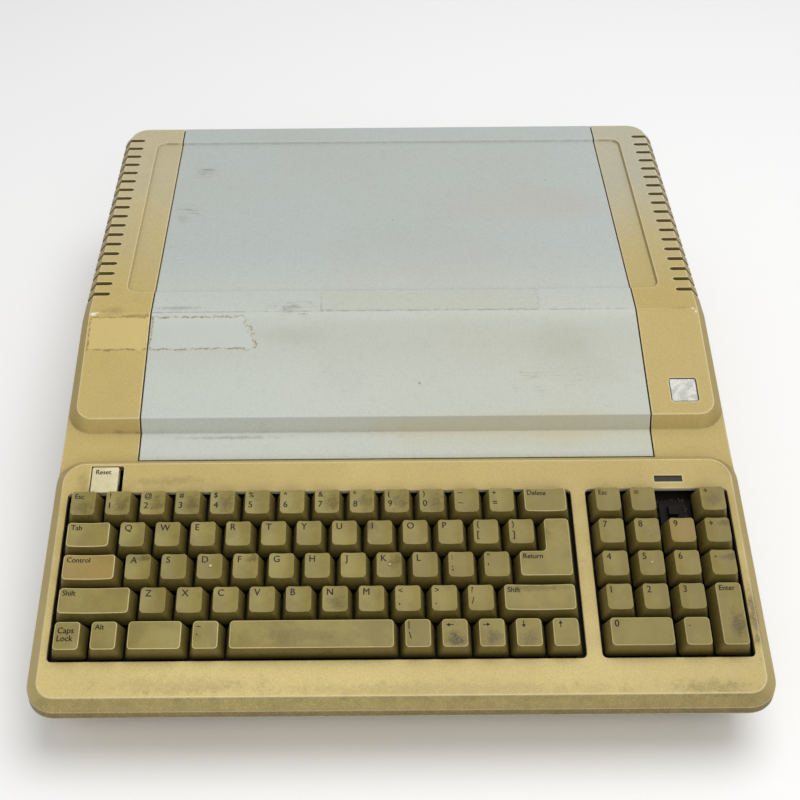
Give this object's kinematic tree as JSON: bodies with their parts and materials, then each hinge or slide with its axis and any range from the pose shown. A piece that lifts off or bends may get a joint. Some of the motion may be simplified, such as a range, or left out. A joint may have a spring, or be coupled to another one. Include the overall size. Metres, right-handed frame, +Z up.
{
  "type": "vintage home computer",
  "caption": "Wedge-shaped desktop computer with a built-in keyboard and number pad, a lift-off lid over a card bay, side vents and a rear panel of covered ports.",
  "frame": {"origin": "on the table under the middle of the case's outline", "axes": "+X to the right of a person at the keyboard, +Y from the keyboard to the rear panel, +Z up"},
  "size_m": [0.3874, 0.4572, 0.108],
  "materials": {
    "case_plastic": "fine moulded texture, aged",
    "lid_plastic": "fine moulded texture, less aged than the case",
    "steel_plate": "painted sheet",
    "foot_rubber": "matt",
    "cover_plastic": "smooth",
    "supply_aluminium": "brushed",
    "black_plastic": "moulded",
    "board_laminate": "solder resist",
    "slot_plastic": "moulded",
    "connector_metal": "plated shells",
    "black_plate": "black",
    "lamp_lens": "dark green lens",
    "badge_metal": "bare, speckled",
    "speaker_body": "dark cone in a steel basket",
    "ribbon_plastic": "grey ribbon",
    "key_plastic": "aged, slightly rough",
    "reset_plastic": "aged"
  },
  "bodies": {
    "case": {"upper_case": "case_plastic", "base_plate": "steel_plate", "rubber_feet": "foot_rubber", "rear_panel": "steel_plate", "port_covers": "cover_plastic", "power_supply": "supply_aluminium", "power_inlet": "black_plastic", "main_board": "board_laminate", "expansion_slots": "slot_plastic", "board_chips": "black_plastic", "rear_connectors": "connector_metal", "keyboard_plate": "black_plate", "key_switches": "black_plastic", "keyboard_board": "board_laminate", "power_lamp": "lamp_lens", "badge_plate": "badge_metal", "speaker": "speaker_body", "keyboard_ribbon": "ribbon_plastic"},
    "lid": {"lid": "lid_plastic"},
    "power_switch": {"power_switch": "black_plastic"},
    "key_esc": {"key_esc": "key_plastic"},
    "key_delete": {"key_delete": "key_plastic"},
    "key_tab": {"key_tab": "key_plastic"},
    "key_control": {"key_control": "key_plastic"},
    "key_shift_left": {"key_shift_left": "key_plastic"},
    "key_shift_right": {"key_shift_right": "key_plastic"},
    "key_caps_lock": {"key_caps_lock": "key_plastic"},
    "key_alt": {"key_alt": "key_plastic"},
    "key_command": {"key_command": "key_plastic"},
    "key_accent": {"key_accent": "key_plastic"},
    "key_space": {"key_space": "key_plastic"},
    "key_backslash": {"key_backslash": "key_plastic"},
    "key_left": {"key_left": "key_plastic"},
    "key_right": {"key_right": "key_plastic"},
    "key_down": {"key_down": "key_plastic"},
    "key_up": {"key_up": "key_plastic"},
    "key_return": {"key_return": "key_plastic"},
    "key_reset": {"key_reset": "reset_plastic"},
    "pad_esc": {"pad_esc": "key_plastic"},
    "pad_equals": {"pad_equals": "key_plastic"},
    "pad_star": {"pad_star": "key_plastic"},
    "pad_7": {"pad_7": "key_plastic"},
    "pad_8": {"pad_8": "key_plastic"},
    "pad_9": {"pad_9": "key_plastic"},
    "pad_plus": {"pad_plus": "key_plastic"},
    "pad_4": {"pad_4": "key_plastic"},
    "pad_5": {"pad_5": "key_plastic"},
    "pad_6": {"pad_6": "key_plastic"},
    "pad_minus": {"pad_minus": "key_plastic"},
    "pad_1": {"pad_1": "key_plastic"},
    "pad_2": {"pad_2": "key_plastic"},
    "pad_3": {"pad_3": "key_plastic"},
    "pad_enter": {"pad_enter": "key_plastic"},
    "pad_0": {"pad_0": "key_plastic"},
    "pad_point": {"pad_point": "key_plastic"},
    "keys_numbers": {"keys_numbers": "key_plastic"},
    "keys_top_letters": {"keys_top_letters": "key_plastic"},
    "keys_home_letters": {"keys_home_letters": "key_plastic"},
    "keys_bottom_letters": {"keys_bottom_letters": "key_plastic"}
  },
  "joints": [
    {"name": "lid_lift", "type": "slide", "parent": "case", "child": "lid", "axis": [0, 0, 1], "range_m": [0, 0.15]},
    {"name": "power_rocker", "type": "hinge", "parent": "case", "child": "power_switch", "pos_m": [-0.11196, 0.2209, 0.0416], "axis": [1, 0, 0], "range_deg": [0, 18]},
    {"name": "key_esc_press", "type": "slide", "parent": "case", "child": "key_esc", "axis": [0, 0.2538, -0.9673], "range_m": [0, 0.0035], "stiffness_N_per_m": 130, "springref_m": -0.002},
    {"name": "key_delete_press", "type": "slide", "parent": "case", "child": "key_delete", "axis": [0, 0.2538, -0.9673], "range_m": [0, 0.0035], "stiffness_N_per_m": 130, "springref_m": -0.002},
    {"name": "key_tab_press", "type": "slide", "parent": "case", "child": "key_tab", "axis": [0, 0.2538, -0.9673], "range_m": [0, 0.0035], "stiffness_N_per_m": 130, "springref_m": -0.002},
    {"name": "key_control_press", "type": "slide", "parent": "case", "child": "key_control", "axis": [0, 0.2538, -0.9673], "range_m": [0, 0.0035], "stiffness_N_per_m": 130, "springref_m": -0.002},
    {"name": "key_shift_left_press", "type": "slide", "parent": "case", "child": "key_shift_left", "axis": [0, 0.2538, -0.9673], "range_m": [0, 0.0035], "stiffness_N_per_m": 130, "springref_m": -0.002},
    {"name": "key_shift_right_press", "type": "slide", "parent": "case", "child": "key_shift_right", "axis": [0, 0.2538, -0.9673], "range_m": [0, 0.0035], "stiffness_N_per_m": 130, "springref_m": -0.002},
    {"name": "key_caps_lock_press", "type": "slide", "parent": "case", "child": "key_caps_lock", "axis": [0, 0.2538, -0.9673], "range_m": [0, 0.0035], "stiffness_N_per_m": 130, "springref_m": -0.002},
    {"name": "key_alt_press", "type": "slide", "parent": "case", "child": "key_alt", "axis": [0, 0.2538, -0.9673], "range_m": [0, 0.0035], "stiffness_N_per_m": 130, "springref_m": -0.002},
    {"name": "key_command_press", "type": "slide", "parent": "case", "child": "key_command", "axis": [0, 0.2538, -0.9673], "range_m": [0, 0.0035], "stiffness_N_per_m": 130, "springref_m": -0.002},
    {"name": "key_accent_press", "type": "slide", "parent": "case", "child": "key_accent", "axis": [0, 0.2538, -0.9673], "range_m": [0, 0.0035], "stiffness_N_per_m": 130, "springref_m": -0.002},
    {"name": "key_space_press", "type": "slide", "parent": "case", "child": "key_space", "axis": [0, 0.2538, -0.9673], "range_m": [0, 0.0035], "stiffness_N_per_m": 130, "springref_m": -0.002},
    {"name": "key_backslash_press", "type": "slide", "parent": "case", "child": "key_backslash", "axis": [0, 0.2538, -0.9673], "range_m": [0, 0.0035], "stiffness_N_per_m": 130, "springref_m": -0.002},
    {"name": "key_left_press", "type": "slide", "parent": "case", "child": "key_left", "axis": [0, 0.2538, -0.9673], "range_m": [0, 0.0035], "stiffness_N_per_m": 130, "springref_m": -0.002},
    {"name": "key_right_press", "type": "slide", "parent": "case", "child": "key_right", "axis": [0, 0.2538, -0.9673], "range_m": [0, 0.0035], "stiffness_N_per_m": 130, "springref_m": -0.002},
    {"name": "key_down_press", "type": "slide", "parent": "case", "child": "key_down", "axis": [0, 0.2538, -0.9673], "range_m": [0, 0.0035], "stiffness_N_per_m": 130, "springref_m": -0.002},
    {"name": "key_up_press", "type": "slide", "parent": "case", "child": "key_up", "axis": [0, 0.2538, -0.9673], "range_m": [0, 0.0035], "stiffness_N_per_m": 130, "springref_m": -0.002},
    {"name": "key_return_press", "type": "slide", "parent": "case", "child": "key_return", "axis": [0, 0.2538, -0.9673], "range_m": [0, 0.0035], "stiffness_N_per_m": 130, "springref_m": -0.002},
    {"name": "key_reset_press", "type": "slide", "parent": "case", "child": "key_reset", "axis": [0, 0.2538, -0.9673], "range_m": [0, 0.0035], "stiffness_N_per_m": 130, "springref_m": -0.002},
    {"name": "pad_esc_press", "type": "slide", "parent": "case", "child": "pad_esc", "axis": [0, 0.2538, -0.9673], "range_m": [0, 0.0035], "stiffness_N_per_m": 130, "springref_m": -0.002},
    {"name": "pad_equals_press", "type": "slide", "parent": "case", "child": "pad_equals", "axis": [0, 0.2538, -0.9673], "range_m": [0, 0.0035], "stiffness_N_per_m": 130, "springref_m": -0.002},
    {"name": "pad_star_press", "type": "slide", "parent": "case", "child": "pad_star", "axis": [0, 0.2538, -0.9673], "range_m": [0, 0.0035], "stiffness_N_per_m": 130, "springref_m": -0.002},
    {"name": "pad_7_press", "type": "slide", "parent": "case", "child": "pad_7", "axis": [0, 0.2538, -0.9673], "range_m": [0, 0.0035], "stiffness_N_per_m": 130, "springref_m": -0.002},
    {"name": "pad_8_press", "type": "slide", "parent": "case", "child": "pad_8", "axis": [0, 0.2538, -0.9673], "range_m": [0, 0.0035], "stiffness_N_per_m": 130, "springref_m": -0.002},
    {"name": "pad_9_press", "type": "slide", "parent": "case", "child": "pad_9", "axis": [0, 0.2538, -0.9673], "range_m": [0, 0.0035], "stiffness_N_per_m": 130, "springref_m": -0.002},
    {"name": "pad_plus_press", "type": "slide", "parent": "case", "child": "pad_plus", "axis": [0, 0.2538, -0.9673], "range_m": [0, 0.0035], "stiffness_N_per_m": 130, "springref_m": -0.002},
    {"name": "pad_4_press", "type": "slide", "parent": "case", "child": "pad_4", "axis": [0, 0.2538, -0.9673], "range_m": [0, 0.0035], "stiffness_N_per_m": 130, "springref_m": -0.002},
    {"name": "pad_5_press", "type": "slide", "parent": "case", "child": "pad_5", "axis": [0, 0.2538, -0.9673], "range_m": [0, 0.0035], "stiffness_N_per_m": 130, "springref_m": -0.002},
    {"name": "pad_6_press", "type": "slide", "parent": "case", "child": "pad_6", "axis": [0, 0.2538, -0.9673], "range_m": [0, 0.0035], "stiffness_N_per_m": 130, "springref_m": -0.002},
    {"name": "pad_minus_press", "type": "slide", "parent": "case", "child": "pad_minus", "axis": [0, 0.2538, -0.9673], "range_m": [0, 0.0035], "stiffness_N_per_m": 130, "springref_m": -0.002},
    {"name": "pad_1_press", "type": "slide", "parent": "case", "child": "pad_1", "axis": [0, 0.2538, -0.9673], "range_m": [0, 0.0035], "stiffness_N_per_m": 130, "springref_m": -0.002},
    {"name": "pad_2_press", "type": "slide", "parent": "case", "child": "pad_2", "axis": [0, 0.2538, -0.9673], "range_m": [0, 0.0035], "stiffness_N_per_m": 130, "springref_m": -0.002},
    {"name": "pad_3_press", "type": "slide", "parent": "case", "child": "pad_3", "axis": [0, 0.2538, -0.9673], "range_m": [0, 0.0035], "stiffness_N_per_m": 130, "springref_m": -0.002},
    {"name": "pad_enter_press", "type": "slide", "parent": "case", "child": "pad_enter", "axis": [0, 0.2538, -0.9673], "range_m": [0, 0.0035], "stiffness_N_per_m": 130, "springref_m": -0.002},
    {"name": "pad_0_press", "type": "slide", "parent": "case", "child": "pad_0", "axis": [0, 0.2538, -0.9673], "range_m": [0, 0.0035], "stiffness_N_per_m": 130, "springref_m": -0.002},
    {"name": "pad_point_press", "type": "slide", "parent": "case", "child": "pad_point", "axis": [0, 0.2538, -0.9673], "range_m": [0, 0.0035], "stiffness_N_per_m": 130, "springref_m": -0.002},
    {"name": "keys_numbers_press", "type": "slide", "parent": "case", "child": "keys_numbers", "axis": [0, 0.2538, -0.9673], "range_m": [0, 0.0035], "stiffness_N_per_m": 1560, "springref_m": -0.002},
    {"name": "keys_top_letters_press", "type": "slide", "parent": "case", "child": "keys_top_letters", "axis": [0, 0.2538, -0.9673], "range_m": [0, 0.0035], "stiffness_N_per_m": 1560, "springref_m": -0.002},
    {"name": "keys_home_letters_press", "type": "slide", "parent": "case", "child": "keys_home_letters", "axis": [0, 0.2538, -0.9673], "range_m": [0, 0.0035], "stiffness_N_per_m": 1430, "springref_m": -0.002},
    {"name": "keys_bottom_letters_press", "type": "slide", "parent": "case", "child": "keys_bottom_letters", "axis": [0, 0.2538, -0.9673], "range_m": [0, 0.0035], "stiffness_N_per_m": 1300, "springref_m": -0.002}
  ]
}
